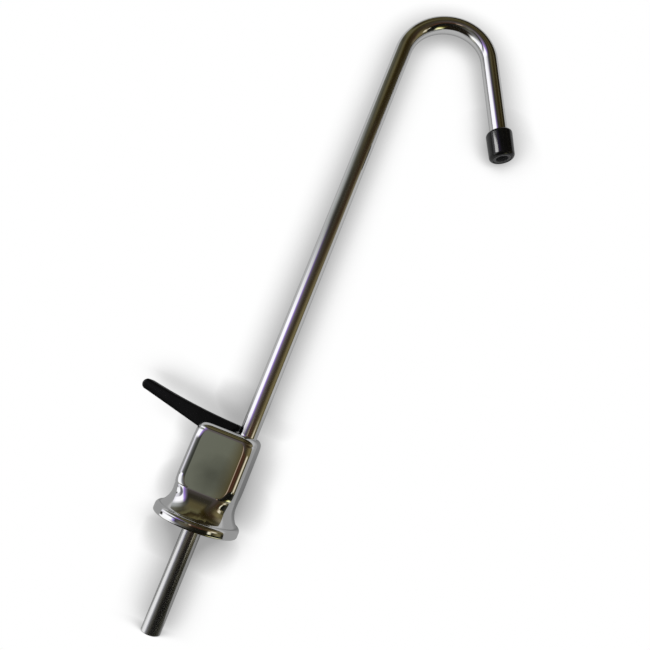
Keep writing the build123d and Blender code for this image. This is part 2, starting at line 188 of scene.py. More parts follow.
def use_group(nodes, links, group, place, **values):
    """Places a group in a material, reading the Object coordinates."""
    node = nodes.new("ShaderNodeGroup")
    node.node_tree = group
    links.new(place, node.inputs["Place"])
    for label, value in values.items():
        node.inputs[label.replace("_", " ")].default_value = value
    return node


def bump(nodes, links, shader, height, strength, distance):
    """Bump from a height into the shader's normal."""
    node = nodes.new("ShaderNodeBump")
    node.inputs["Strength"].default_value = strength
    node.inputs["Distance"].default_value = distance
    links.new(height, node.inputs["Height"])
    links.new(node.outputs["Normal"], shader.inputs["Normal"])


satin_steel, nodes, links, shader, place = start_material("satin_steel")
streaks = use_group(nodes, links, streak_group, place, Across=1400.0, Along=18.0)
links.new(two_tone(nodes, links, streaks.outputs["Streak"], (0.6, 0.6, 0.59), (0.68, 0.68, 0.67)),
          shader.inputs["Base Color"])
links.new(remap(nodes, links, streaks.outputs["Patch"], 0.3, 0.7, 0.13, 0.2),
          shader.inputs["Roughness"])
shader.inputs["Metallic"].default_value = 1.0
bump(nodes, links, shader, streaks.outputs["Streak"], 0.1, 0.00002)

inlet_bore_r = tube_r - tube_wall
inlet_tube = turned("inlet_tube_skin", [
    (inlet_bore_r, inlet_high), (inlet_bore_r, inlet_low), (tube_r - end_chamfer, inlet_low),
    (tube_r, inlet_low + end_chamfer), (tube_r, 0), (inlet_seat_r, 0), (inlet_seat_r, inlet_high),
    (inlet_bore_r, inlet_high)])
inlet_tube.data.materials.append(satin_steel)
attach(inlet_tube, "body")
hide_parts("inlet_tube")

# Brass of the valve: block, adapter, poppet, plug and spigot, machined from bar and casting and
# left bare inside the cover, with fine tool rings and a dull warm tarnish.
brass, nodes, links, shader, place = start_material("machined_brass")
streaks = use_group(nodes, links, streak_group, place, Across=120.0, Along=2600.0)
links.new(two_tone(nodes, links, streaks.outputs["Patch"], (0.52, 0.38, 0.17), (0.74, 0.58, 0.3)),
          shader.inputs["Base Color"])
links.new(remap(nodes, links, streaks.outputs["Patch"], 0.3, 0.7, 0.24, 0.42),
          shader.inputs["Roughness"])
shader.inputs["Metallic"].default_value = 1.0
bump(nodes, links, shader, streaks.outputs["Streak"], 0.3, 0.00004)


def finish_nodes(finish, names):
    """Gives pieces that keep their CAD mesh their finish."""
    for name in names:
        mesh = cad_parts[name].data
        mesh.materials.clear()
        mesh.materials.append(finish)


finish_nodes(brass, ("valve_block", "inlet_adapter", "valve_poppet", "port_plug", "spout_spigot"))

# Steel small parts: stem, pins, screws, gland washer, clip and spring, of bright stainless steel.
# They are turned from bar, stamped from sheet or coiled from wire.
plain_steel, nodes, links, shader, place = start_material("plain_steel")
streaks = use_group(nodes, links, streak_group, place, Across=150.0, Along=2200.0)
links.new(two_tone(nodes, links, streaks.outputs["Patch"], (0.5, 0.5, 0.51), (0.64, 0.64, 0.65)),
          shader.inputs["Base Color"])
links.new(remap(nodes, links, streaks.outputs["Streak"], 0.3, 0.7, 0.22, 0.36),
          shader.inputs["Roughness"])
shader.inputs["Metallic"].default_value = 1.0
bump(nodes, links, shader, streaks.outputs["Streak"], 0.2, 0.00003)
finish_nodes(plain_steel, ("cover_screws", "valve_stem", "lift_pin", "washer_screw",
                           "gland_washer", "valve_spring", "lever_pin", "spout_clip"))

# Seals: gasket, O-rings and seat washer, moulded in black rubber with a dusty matt skin. The
# rings sit in grooves, and the gasket and the washer are clamped.
grain_group, entry, leave = start_group(
    "moulded_grain",
    [("Place", "NodeSocketVector", None), ("Grain", "NodeSocketFloat", 2500.0),
     ("Cloud", "NodeSocketFloat", 90.0)],
    ["Grain", "Cloud"])
group_nodes, group_links = grain_group.nodes, grain_group.links
for label, detail in (("Grain", 2.0), ("Cloud", 4.0)):
    texture = group_nodes.new("ShaderNodeTexNoise")
    texture.inputs["Detail"].default_value = detail
    group_links.new(entry.outputs["Place"], texture.inputs["Vector"])
    group_links.new(entry.outputs[label], texture.inputs["Scale"])
    group_links.new(texture.outputs["Fac"], leave.inputs[label])

seal_rubber, nodes, links, shader, place = start_material("seal_rubber")
grain = use_group(nodes, links, grain_group, place, Grain=1800.0, Cloud=140.0)
links.new(two_tone(nodes, links, grain.outputs["Cloud"], (0.014, 0.014, 0.014), (0.04, 0.04, 0.04)),
          shader.inputs["Base Color"])
links.new(remap(nodes, links, grain.outputs["Cloud"], 0.3, 0.7, 0.5, 0.72),
          shader.inputs["Roughness"])
bump(nodes, links, shader, grain.outputs["Grain"], 0.3, 0.00005)
finish_nodes(seal_rubber, ("base_gasket", "adapter_o_ring", "seat_washer", "stem_o_rings",
                           "spout_o_rings"))

# Spout bush: a thin ring moulded in white plastic and pressed into the cover's roof. It keeps the
# spout's tube off the casting and guides it as it swivels.
white_plastic, nodes, links, shader, place = start_material("white_plastic")
grain = use_group(nodes, links, grain_group, place, Grain=1500.0, Cloud=120.0)
links.new(two_tone(nodes, links, grain.outputs["Cloud"], (0.62, 0.62, 0.6), (0.74, 0.74, 0.71)),
          shader.inputs["Base Color"])
links.new(remap(nodes, links, grain.outputs["Grain"], 0.3, 0.7, 0.38, 0.5),
          shader.inputs["Roughness"])
bump(nodes, links, shader, grain.outputs["Grain"], 0.2, 0.00004)
finish_nodes(white_plastic, ("spout_bush",))

# Cover: one thin casting, polished and chromed. A box with rounded corners flares into the round
# flange, and it is open below and slotted for the lever.
flange_r = 22.4 * MM
flange_h = 5.0 * MM
rim_top_round = 2.0 * MM
rim_bottom_round = 1.0 * MM
body_half_w = 16.0 * MM
body_half_d = 15.0 * MM
body_h = 49.2 * MM
body_corner = 5.0 * MM
body_top_round = 3.5 * MM
flare_foot = 20.25 * MM
side_flare_top = 14.0 * MM
front_flare_top = 16.6 * MM
side_flare_power = 2.2
front_flare_slope = 0.5
front_flare_power = 2.4
corner_flare_share = 0.995
corner_flare_power = 1.25
panel_corner = 6.5 * MM
panel_low_widening = 0.6
panel_high_widening = 0.3
roof_corner_share = 0.6
cover_wall = 2.2 * MM
ring_points = 384


def outline_point(angle, half_w, half_d, corner):
    """Where a ray from the middle at this angle meets a rounded rectangle."""
    c, s = abs(math.cos(angle)), abs(math.sin(angle))
    flat_w, flat_d = half_w - corner, half_d - corner
    if half_w * s <= flat_d * c:
        reach = half_w / c
    elif half_d * c <= flat_w * s:
        reach = half_d / s
    else:
        along = c * flat_w + s * flat_d
        reach = along + math.sqrt(
            along * along - flat_w * flat_w - flat_d * flat_d + corner * corner)
    return reach * math.cos(angle), reach * math.sin(angle)


def cover_section(z):
    """Half width, half depth and corner radius of the cover's outside at a height."""
    if z < flange_h:
        r = flange_r
        if z < rim_bottom_round:
            r -= rim_bottom_round - math.sqrt(rim_bottom_round ** 2 - (rim_bottom_round - z) ** 2)
        if z > flange_h - rim_top_round:
            rise = z - flange_h + rim_top_round
            r -= rim_top_round - math.sqrt(max(rim_top_round ** 2 - rise ** 2, 0))
        return r, r, r
    side = max(side_flare_top - z, 0) / (side_flare_top - flange_h)
    front = max(front_flare_top - z, 0) / (front_flare_top - flange_h)
    half_w = body_half_w + (flare_foot - body_half_w) * side ** side_flare_power
    front_share = front_flare_slope * front + (1 - front_flare_slope) * front ** front_flare_power
    half_d = body_half_d + (flare_foot - body_half_d) * front_share
    flare_corner = flare_foot * corner_flare_share
    corner = body_corner + (flare_corner - body_corner) * front ** corner_flare_power
    # The corners widen towards the panel's lower and upper end, which rounds the panel off
    below = min(max(front_flare_top + panel_corner - z, 0) / panel_corner, 1)
    above = min(max(z - body_h + body_top_round + panel_corner, 0) / panel_corner, 1)
    corner += panel_low_widening * panel_corner * (1 - math.sqrt(1 - below * below)) * (1 - front)
    corner += panel_high_widening * panel_corner * (1 - math.sqrt(1 - above * above))
    inset = 0
    if z > body_h - body_top_round:
        rise = z - body_h + body_top_round
        inset = body_top_round - math.sqrt(max(body_top_round ** 2 - rise ** 2, 0))
    return half_w - inset, half_d - inset, min(corner, half_d) - inset * roof_corner_share


def steps_between(low, high, count):
    """Evenly spaced heights, the last one left out."""
    return [low + (high - low) * i / count for i in range(count)]


def arc_heights(low, high, count, rising):
    """Heights that crowd where a rounding turns fastest, the last one left out."""
    shares = [i / count for i in range(count)]
    if rising:
        return [low + (high - low) * math.sin(share * math.pi / 2) for share in shares]
    return [low + (high - low) * (1 - math.cos(share * math.pi / 2)) for share in shares]


roof_start = body_h - body_top_round
panel_low = front_flare_top + panel_corner
panel_high = roof_start - panel_corner
cover_levels = (
    arc_heights(0, rim_bottom_round, 8, False)
    + steps_between(rim_bottom_round, flange_h - rim_top_round, 3)
    + arc_heights(flange_h - rim_top_round, flange_h, 12, True)
    + steps_between(flange_h, front_flare_top, 40)
    + steps_between(front_flare_top, panel_low, 14)
    + steps_between(panel_low, panel_high, 6)
    + steps_between(panel_high, roof_start, 14)
    + arc_heights(roof_start, body_h, 16, True)
    + [body_h])
deselect()
bpy.ops.mesh.primitive_circle_add(vertices=ring_points, radius=flange_r)
cover = bpy.context.object
cover.name = "cover_skin"
bpy.ops.object.mode_set(mode="EDIT")
bpy.ops.mesh.select_all(action="SELECT")
bpy.ops.mesh.edge_face_add()
for low, high in zip(cover_levels, cover_levels[1:]):
    bpy.ops.mesh.extrude_region_move(TRANSFORM_OT_translate={"value": (0, 0, high - low)})
bpy.ops.object.mode_set(mode="OBJECT")
for vertex in cover.data.vertices:
    x, y, z = vertex.co
    vertex.co.x, vertex.co.y = outline_point(math.atan2(y, x), *cover_section(min(z, body_h)))
bpy.ops.object.mode_set(mode="EDIT")
bpy.ops.mesh.select_all(action="SELECT")
bpy.ops.mesh.normals_make_consistent(inside=False)
bpy.ops.object.mode_set(mode="OBJECT")


def box_cutter(low, high, bevel=0.0):
    """Block between two corners, with its upright edges rounded, for cutting."""
    deselect()
    middle = [(a + b) / 2 for a, b in zip(low, high)]
    bpy.ops.mesh.primitive_cube_add(size=1, location=middle)
    block = bpy.context.object
    block.scale = [b - a for a, b in zip(low, high)]
    bpy.ops.object.transform_apply(location=True, rotation=True, scale=True)
    if bevel:
        for edge in block.data.edges:
            a, b = (block.data.vertices[i].co for i in edge.vertices)
            edge.select = abs(a.z - b.z) > touching
        bpy.ops.object.mode_set(mode="EDIT")
        bpy.context.tool_settings.mesh_select_mode = (False, True, False)
        bpy.ops.mesh.bevel(offset=bevel, segments=6)
        bpy.ops.object.mode_set(mode="OBJECT")
    return block


def round_cutter(r, low, high, x=0.0):
    """Upright cylinder for cutting."""
    deselect()
    bpy.ops.mesh.primitive_cylinder_add(vertices=turn_segments, radius=r, depth=high - low,
                                        location=(x, 0, (low + high) / 2))
    block = bpy.context.object
    bpy.ops.object.transform_apply(location=True, rotation=True, scale=True)
    return block


def combine(piece, tool, operation):
    """Boolean of a piece with a tool, which is used up."""
    deselect()
    piece.select_set(True)
    bpy.context.view_layer.objects.active = piece
    modifier = piece.modifiers.new("cut", "BOOLEAN")
    modifier.operation = operation
    modifier.solver = "EXACT"
    modifier.object = tool
    bpy.ops.object.modifier_apply(modifier=modifier.name)
    bpy.data.objects.remove(tool, do_unlink=True)


plate_r = 19.2 * MM
plate_top = 4.0 * MM
slot_half = 5.5 * MM
slot_far = 2.0 * MM
slot_sill = 42.5 * MM
spout_x = 8.4 * MM
bush_r = 5.6 * MM
bush_low = 46.0 * MM
over = 1.0 * MM
cavity_w = body_half_w - cover_wall
cavity_d = body_half_d - cover_wall
cavity = box_cutter((-cavity_w, -cavity_d, plate_top - over / 2),
                    (cavity_w, cavity_d, body_h - cover_wall), bevel=body_corner - cover_wall)
combine(cover, cavity, "DIFFERENCE")
combine(cover, round_cutter(plate_r, -over, plate_top), "DIFFERENCE")
lever_slot = box_cutter((-body_half_w - over, -slot_half, slot_sill),
                        (slot_far, slot_half, body_h + over))
combine(cover, lever_slot, "DIFFERENCE")
combine(cover, round_cutter(bush_r, bush_low, body_h + over, x=spout_x), "DIFFERENCE")
deselect()
cover.select_set(True)
bpy.context.view_layer.objects.active = cover
bpy.ops.object.shade_smooth_by_angle(angle=smooth_angle)

# Chrome: bright plate over a hand-polished ground, with a faint ripple and cloudy wipe marks. The
# cover and the spout share it, each with its own gloss.
polish_group, entry, leave = start_group(
    "polish_marks",
    [("Place", "NodeSocketVector", None), ("Ripple", "NodeSocketFloat", 70.0),
     ("Smear", "NodeSocketFloat", 45.0)],
    ["Ripple", "Smear"])
group_nodes, group_links = polish_group.nodes, polish_group.links
for label, detail in (("Ripple", 1.0), ("Smear", 5.0)):
    texture = group_nodes.new("ShaderNodeTexNoise")
    texture.inputs["Detail"].default_value = detail
    group_links.new(entry.outputs["Place"], texture.inputs["Vector"])
    group_links.new(entry.outputs[label], texture.inputs["Scale"])
    group_links.new(texture.outputs["Fac"], leave.inputs[label])


def chrome_finish(name, rough_low, rough_high, ripple, depth):
    """Chrome plate with its own roughness and ripple."""
    material, nodes, links, shader, place = start_material(name)
    marks = use_group(nodes, links, polish_group, place, Ripple=ripple)
    links.new(two_tone(nodes, links, marks.outputs["Smear"],
                       (0.76, 0.765, 0.77), (0.84, 0.84, 0.835)), shader.inputs["Base Color"])
    links.new(remap(nodes, links, marks.outputs["Smear"], 0.3, 0.75, rough_low, rough_high),
              shader.inputs["Roughness"])
    shader.inputs["Metallic"].default_value = 1.0
    bump(nodes, links, shader, marks.outputs["Ripple"], 0.5, depth)
    return material


chrome_cast = chrome_finish("chrome_cast", 0.015, 0.05, 60.0, 0.00006)
cover.data.materials.clear()
cover.data.materials.append(chrome_cast)
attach(cover, "body")
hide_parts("cover")

# Lever: one moulding in black plastic, a slim bar that thins towards its rounded paddle end, with
# a hub on the pin and a fork over the stem.
pivot = Vector((-9.0, 0, 44.3)) * MM
lever_half_w = 5.0 * MM
lever_tip = Vector((-53.2, 0, 55.6)) * MM
lever_tip_r = 2.85 * MM
lever_end_x = 1.5 * MM
lever_heel_x = 3.1 * MM
lever_heel_z = 49.7 * MM
lever_top_z = 52.9 * MM
lever_under_z = 43.2 * MM
lever_hollow = 1.0 * MM
hub_r = 3.0 * MM
pin_bore_r = 1.55 * MM
lever_edge = 1.2 * MM
lever_nose = 1.0 * MM
ledge_z = 45.1 * MM
pocket_top = 48.4 * MM
pocket_half = 3.5 * MM
pocket_back = -2.6 * MM
stem_slot_half = 1.8 * MM
tip_steps = 24
top_steps = 32
heel_steps = 6
under_steps = 12

neck_x = lever_tip.x + lever_tip_r
lever_outline = []
for i in range(tip_steps + 1):
    angle = math.radians(270 - 180 * i / tip_steps)
    lever_outline.append((neck_x + lever_tip_r * math.cos(angle),
                          lever_tip.z + lever_tip_r * math.sin(angle)))
top_run = lever_heel_x - lever_nose - neck_x
for i in range(1, top_steps + 1):
    share = i / top_steps
    sag = 4 * lever_hollow * share * (1 - share)
    straight = lever_tip.z + lever_tip_r + (lever_top_z - lever_tip.z - lever_tip_r) * share
    lever_outline.append((neck_x + top_run * share, straight - sag))
for i in range(1, heel_steps + 1):
    angle = math.radians(90 - 90 * i / heel_steps)
    lever_outline.append((lever_heel_x - lever_nose + lever_nose * math.cos(angle),
                          lever_top_z - lever_nose + lever_nose * math.sin(angle)))
lever_outline += [(lever_heel_x, lever_heel_z), (lever_end_x, lever_heel_z),
                  (lever_end_x, lever_under_z)]
for i in range(under_steps):
    share = i / under_steps
    lever_outline.append((pivot.x + (neck_x - pivot.x) * share,
                          lever_under_z + (lever_tip.z - lever_tip_r - lever_under_z) * share))
deselect()
bpy.ops.mesh.primitive_circle_add(vertices=len(lever_outline), radius=1, fill_type="NGON")
lever = bpy.context.object
lever.name = "lever_bar"
for vertex, (x, z) in zip(lever.data.vertices, lever_outline):
    vertex.co = (x, -lever_half_w, z)
bpy.ops.object.mode_set(mode="EDIT")
bpy.ops.mesh.select_all(action="SELECT")
bpy.ops.mesh.extrude_region_move(TRANSFORM_OT_translate={"value": (0, 2 * lever_half_w, 0)})
bpy.ops.mesh.select_all(action="SELECT")
bpy.ops.mesh.normals_make_consistent(inside=False)
bpy.ops.object.mode_set(mode="OBJECT")
for edge in lever.data.edges:
    a, b = (lever.data.vertices[i].co for i in edge.vertices)
    edge.select = abs(a.y - b.y) < touching
for polygon in lever.data.polygons:
    polygon.select = False
bpy.ops.object.mode_set(mode="EDIT")
bpy.context.tool_settings.mesh_select_mode = (False, True, False)
bpy.ops.mesh.bevel(offset=lever_edge, segments=6)
bpy.ops.object.mode_set(mode="OBJECT")


def cross_cutter(r, half_length, x, z):
    """Cylinder along Y for cutting or joining."""
    deselect()
    bpy.ops.mesh.primitive_cylinder_add(vertices=64, radius=r, depth=2 * half_length,
                                        location=(x, 0, z), rotation=(math.pi / 2, 0, 0))
    block = bpy.context.object
    bpy.ops.object.transform_apply(location=True, rotation=True, scale=True)
    return block


combine(lever, cross_cutter(hub_r, lever_half_w, pivot.x, pivot.z), "UNION")
combine(lever, cross_cutter(pin_bore_r, 2 * lever_half_w, pivot.x, pivot.z), "DIFFERENCE")
pin_pocket = box_cutter((pocket_back, -pocket_half, ledge_z),
                        (lever_end_x + over, pocket_half, pocket_top))
combine(lever, pin_pocket, "DIFFERENCE")
stem_slot = box_cutter((pocket_back, -stem_slot_half, lever_under_z - over),
                       (lever_end_x + over, stem_slot_half, ledge_z + over / 2))
combine(lever, stem_slot, "DIFFERENCE")
deselect()
lever.select_set(True)
bpy.context.view_layer.objects.active = lever
bpy.ops.object.shade_smooth_by_angle(angle=smooth_angle)

black_plastic, nodes, links, shader, place = start_material("black_plastic")
grain = use_group(nodes, links, grain_group, place, Grain=1100.0, Cloud=70.0)
links.new(two_tone(nodes, links, grain.outputs["Cloud"],
                   (0.001, 0.001, 0.0011), (0.003, 0.003, 0.0032)), shader.inputs["Base Color"])
links.new(remap(nodes, links, grain.outputs["Cloud"], 0.3, 0.7, 0.34, 0.48),
          shader.inputs["Roughness"])
shader.inputs["Specular IOR Level"].default_value = 0.14
bump(nodes, links, shader, grain.outputs["Grain"], 0.05, 0.00002)
lever.data.materials.clear()
lever.data.materials.append(black_plastic)
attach(lever, "lever")
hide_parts("lever")

# Spout: one length of thin tube, bent round a former into the hook, then polished and chromed.
# Its outlet leg leans outwards.
spout_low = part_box("spout_tube")[0].z
spout_straight_top = 294.3 * MM
hook_r = 26.5 * MM
hook_turn = math.radians(155.75)
leg_length = 47.0 * MM
leg_in_tip = 12.3 * MM
upright_steps = 24
hook_steps = 96
hook_middle = Vector((spout_x + hook_r, 0, spout_straight_top))
leg_way = Vector((math.sin(hook_turn), 0, math.cos(hook_turn)))
leg_start = hook_middle + Vector((-hook_r * math.cos(hook_turn), 0, hook_r * math.sin(hook_turn)))
deselect()
bpy.ops.mesh.primitive_circle_add(vertices=turn_segments, radius=tube_r)
spout = bpy.context.object
spout.name = "spout_skin"
bpy.ops.object.mode_set(mode="EDIT")
bpy.ops.mesh.select_all(action="SELECT")
bpy.ops.transform.translate(value=(spout_x, 0, spout_low))
upright_step = (spout_straight_top - spout_low) / upright_steps
for i in range(upright_steps):
    bpy.ops.mesh.extrude_region_move(TRANSFORM_OT_translate={"value": (0, 0, upright_step)})
bpy.ops.mesh.spin(steps=hook_steps, angle=hook_turn, center=hook_middle, axis=(0, -1, 0))
bpy.ops.mesh.extrude_region_move(TRANSFORM_OT_translate={"value": leg_way * leg_length})
bpy.ops.mesh.extrude_region_move(TRANSFORM_OT_translate={"value": leg_way * leg_in_tip})
bpy.ops.mesh.select_all(action="SELECT")
bpy.ops.mesh.remove_doubles(threshold=touching)
bpy.ops.mesh.normals_make_consistent(inside=False)
bpy.ops.object.mode_set(mode="OBJECT")
wall = spout.modifiers.new("wall", "SOLIDIFY")
wall.thickness = tube_wall
wall.offset = -1
bpy.ops.object.modifier_apply(modifier="wall")
bpy.ops.object.shade_smooth_by_angle(angle=smooth_angle)
chrome_tube = chrome_finish("chrome_tube", 0.04, 0.09, 45.0, 0.00004)
spout.data.materials.clear()
spout.data.materials.append(chrome_tube)
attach(spout, "spout")
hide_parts("spout_tube")

# Outlet tip: a moulded black rubber nozzle, pushed over the spout's end. It is rounded at the
# shoulder and the mouth and has a glossy skin.
tip_length = 17.0 * MM
tip_top_r = 7.45 * MM
tip_low_r = 7.2 * MM
tip_shoulder = 2.0 * MM
tip_mouth_round = 2.1 * MM
tip_mouth_turn = 84
mouth_r = 5.3 * MM
mouth_bore_r = 3.5 * MM
mouth_inset = 0.3 * MM
tip_edge = 0.5 * MM


def rounding(middle_r, middle_z, r, first, last, steps):
    """Points of an arc in a turned profile, from the first to the last angle in degrees."""
    angles = [math.radians(first + (last - first) * i / steps) for i in range(steps + 1)]
    return [(middle_r + r * math.cos(a), middle_z + r * math.sin(a)) for a in angles]


def move_to_outlet(piece):
    """Stands a piece that was turned about Z on the end of the outlet leg, pointing down it."""
    deselect()
    piece.select_set(True)
    bpy.context.view_layer.objects.active = piece
    outlet_place = Matrix.Translation(leg_start + leg_way * leg_length)
    piece.matrix_world = outlet_place @ Matrix.Rotation(hook_turn, 4, "Y")
    bpy.ops.object.transform_apply(location=True, rotation=True, scale=True)


tip_profile = (
    [(tube_r, 0)]
    + rounding(tip_top_r - tip_shoulder, tip_shoulder, tip_shoulder, -90, 0, 10)
    + rounding(tip_low_r - tip_mouth_round, tip_length - tip_mouth_round, tip_mouth_round,
               0, tip_mouth_turn, 12)
    + [(mouth_r, tip_length), (mouth_r, leg_in_tip), (tube_r, leg_in_tip), (tube_r, 0)])
outlet_tip = turned("outlet_nozzle", tip_profile)
move_to_outlet(outlet_tip)
tip_rubber, nodes, links, shader, place = start_material("tip_rubber")
grain = use_group(nodes, links, grain_group, place, Grain=1600.0, Cloud=160.0)
links.new(two_tone(nodes, links, grain.outputs["Cloud"],
                   (0.0015, 0.0015, 0.0016), (0.004, 0.004, 0.0042)), shader.inputs["Base Color"])
links.new(remap(nodes, links, grain.outputs["Cloud"], 0.3, 0.7, 0.1, 0.15),
          shader.inputs["Roughness"])
bump(nodes, links, shader, grain.outputs["Grain"], 0.03, 0.00002)
shader.inputs["Specular IOR Level"].default_value = 0.42
outlet_tip.data.materials.append(tip_rubber)
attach(outlet_tip, "spout")
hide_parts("outlet_tip")

# Mouth ring: a grey plastic insert, moulded and pressed into the nozzle's mouth. Its plain bore
# straightens the stream.
mouth_end = tip_length - mouth_inset
outlet_ring = turned("outlet_insert", [
    (mouth_r, leg_in_tip), (mouth_r, mouth_end - tip_edge / 2), (mouth_r - tip_edge / 2, mouth_end),
    (mouth_bore_r + tip_edge / 2, mouth_end), (mouth_bore_r, mouth_end - tip_edge / 2),
    (mouth_bore_r, leg_in_tip), (mouth_r, leg_in_tip)])
move_to_outlet(outlet_ring)
grey_plastic, nodes, links, shader, place = start_material("grey_plastic")
grain = use_group(nodes, links, grain_group, place, Grain=1600.0, Cloud=200.0)
links.new(two_tone(nodes, links, grain.outputs["Cloud"], (0.03, 0.03, 0.031), (0.06, 0.06, 0.062)),
          shader.inputs["Base Color"])
links.new(remap(nodes, links, grain.outputs["Grain"], 0.3, 0.7, 0.35, 0.5),
          shader.inputs["Roughness"])
bump(nodes, links, shader, grain.outputs["Grain"], 0.2, 0.00004)
outlet_ring.data.materials.append(grey_plastic)
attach(outlet_ring, "spout")
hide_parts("outlet_ring")

# Room: the tap is photographed against white paper, with a dim olive-brown room and a bright
# window behind the camera, which the chrome mirrors. Tones are written as seen in the metal.
world = bpy.data.worlds.new("room")
bpy.context.scene.world = world
world.use_nodes = True
nodes, links = world.node_tree.nodes, world.node_tree.links
nodes.clear()
room_gain = 1.25
light_level = 0.75
paper_white = 1.0


def linear(channel):
    """Linear value of a display value from 0 to 255."""
    share = channel / 255
    return share / 12.92 if share <= 0.04045 else ((share + 0.055) / 1.055) ** 2.4


heading = nodes.new("ShaderNodeTexCoord").outputs["Generated"]
parts = nodes.new("ShaderNodeSeparateXYZ")
links.new(heading, parts.inputs["Vector"])
towards = nodes.new("ShaderNodeMath")
towards.operation = "MULTIPLY"
towards.inputs[1].default_value = -1
links.new(parts.outputs["Y"], towards.inputs[0])
bearing = nodes.new("ShaderNodeMath")
bearing.operation = "ARCTAN2"
links.new(parts.outputs["X"], bearing.inputs[0])
links.new(towards.outputs["Value"], bearing.inputs[1])
around = remap(nodes, links, bearing.outputs["Value"], -math.pi, math.pi, 0, 1)
upward = parts.outputs["Z"]


def room_band(tones):
    """Tones of the room at one height: bearing from the camera in degrees, then the tone."""
    ramp = nodes.new("ShaderNodeValToRGB")
    links.new(around, ramp.inputs["Fac"])
    elements = ramp.color_ramp.elements
    while len(elements) < len(tones):
        elements.new(0.5)
    for element, (angle, *tone) in zip(elements, tones):
        element.position = (angle + 180) / 360
        element.color = (*[linear(channel) for channel in tone], 1)
    return ramp.outputs["Color"]


low_band = room_band([
    (-180, 150, 150, 148), (-125, 150, 150, 150), (-108, 178, 175, 168), (-98, 196, 196, 190),
    (-94, 44, 40, 34), (-88, 30, 28, 24), (-83, 250, 250, 252), (-54, 253, 253, 255),
    (-47, 150, 130, 205), (-41, 60, 56, 62), (-28, 90, 87, 76), (-9, 82, 74, 60), (2, 42, 37, 30),
    (12, 26, 24, 18), (38, 20, 20, 15), (46, 36, 33, 24), (50, 232, 228, 205), (55, 205, 200, 172),
    (59, 40, 36, 26), (68, 86, 80, 54), (76, 112, 105, 75), (84, 98, 92, 62), (89, 30, 28, 20),
    (98, 40, 40, 36), (108, 104, 104, 100), (124, 150, 150, 148), (180, 150, 150, 148)])
under_band = room_band([
    (-180, 150, 150, 150), (-130, 150, 150, 150), (-104, 205, 206, 208), (-92, 248, 248, 250),
    (-60, 246, 246, 250), (-46, 160, 160, 166), (-36, 110, 110, 112), (-18, 76, 75, 70),
    (-2, 38, 37, 32), (14, 20, 19, 16), (66, 14, 14, 11), (78, 34, 34, 27), (92, 50, 49, 42),
    (112, 72, 72, 68), (142, 130, 130, 130), (180, 150, 150, 150)])
table_band = room_band([
    (-180, 170, 170, 168), (-120, 190, 190, 186), (-98, 246, 246, 240), (-58, 252, 252, 250),
    (-46, 120, 116, 110), (-34, 40, 34, 26), (-10, 20, 16, 10), (22, 16, 12, 8), (36, 40, 32, 12),
    (50, 60, 56, 24), (64, 225, 222, 140), (74, 250, 248, 205), (98, 240, 238, 190),
    (110, 120, 116, 90), (130, 120, 120, 116), (180, 170, 170, 168)])
body_band = room_band([
    (-180, 155, 155, 156), (-112, 165, 165, 170), (-90, 215, 213, 222), (-74, 205, 203, 210),
    (-62, 120, 120, 122), (-50, 88, 88, 88), (-34, 58, 60, 55), (-17, 52, 54, 46),
    (-13, 106, 107, 97), (-11.2, 101, 103, 91), (-8.3, 99, 101, 88), (-7.6, 84, 77, 50),
    (-4.9, 66, 56, 34), (-3.6, 172, 154, 134), (0.5, 165, 145, 125), (3, 74, 48, 34),
    (18, 60, 40, 26), (26, 78, 46, 38), (34, 56, 42, 26), (47, 64, 52, 34), (54, 160, 146, 118),
    (60, 222, 214, 190), (68, 205, 196, 172), (75, 80, 75, 52), (90, 62, 58, 38),
    (99, 118, 116, 104), (112, 150, 148, 142), (180, 150, 149, 145)])
window_band = room_band([
    (-180, 170, 170, 171), (-126, 172, 172, 174), (-104, 196, 195, 200), (-92, 225, 223, 232),
    (-80, 252, 251, 255), (-48, 252, 251, 255), (-39, 160, 128, 214), (-28, 118, 104, 138),
    (-14, 92, 86, 86), (2, 70, 62, 60), (18, 55, 46, 36), (35, 60, 53, 34), (50, 92, 82, 56),
    (66, 112, 102, 70), (84, 94, 86, 58), (100, 95, 88, 66), (116, 125, 120, 105),
    (132, 152, 150, 138), (180, 168, 168, 165)])
shelf_band = room_band([
    (-180, 176, 177, 177), (-120, 172, 173, 173), (-93, 160, 162, 162), (-76, 155, 158, 157),
    (-60, 135, 136, 134), (-44, 88, 88, 84), (-28, 55, 54, 49), (-12, 45, 42, 34), (4, 54, 50, 40),
    (20, 52, 45, 33), (36, 50, 38, 26), (52, 54, 42, 27), (66, 84, 74, 55), (82, 112, 104, 84),
    (100, 120, 113, 94), (116, 146, 140, 124), (132, 155, 150, 138), (180, 170, 168, 163)])
ceiling_band = room_band([
    (-180, 150, 150, 146), (-140, 110, 110, 104), (-92, 90, 90, 82), (-76, 92, 91, 80),
    (-60, 76, 75, 63), (-45, 68, 65, 50), (-29, 84, 79, 58), (-13, 84, 77, 52), (2, 52, 44, 20),
    (18, 38, 30, 10), (36, 40, 32, 15), (52, 45, 38, 21), (67, 54, 49, 32), (84, 70, 64, 50),
    (98, 110, 107, 95), (114, 145, 141, 132), (132, 152, 149, 142), (180, 158, 156, 152)])


def blend_up(lower, upper, low_degrees, high_degrees):
    """Goes from the lower to the upper band between two elevations."""
    node = nodes.new("ShaderNodeMix")
    node.data_type = "RGBA"
    links.new(remap(nodes, links, upward, math.sin(math.radians(low_degrees)),
                    math.sin(math.radians(high_degrees)), 0, 1), node.inputs["Factor"])
    links.new(lower, node.inputs["A"])
    links.new(upper, node.inputs["B"])
    return node.outputs["Result"]


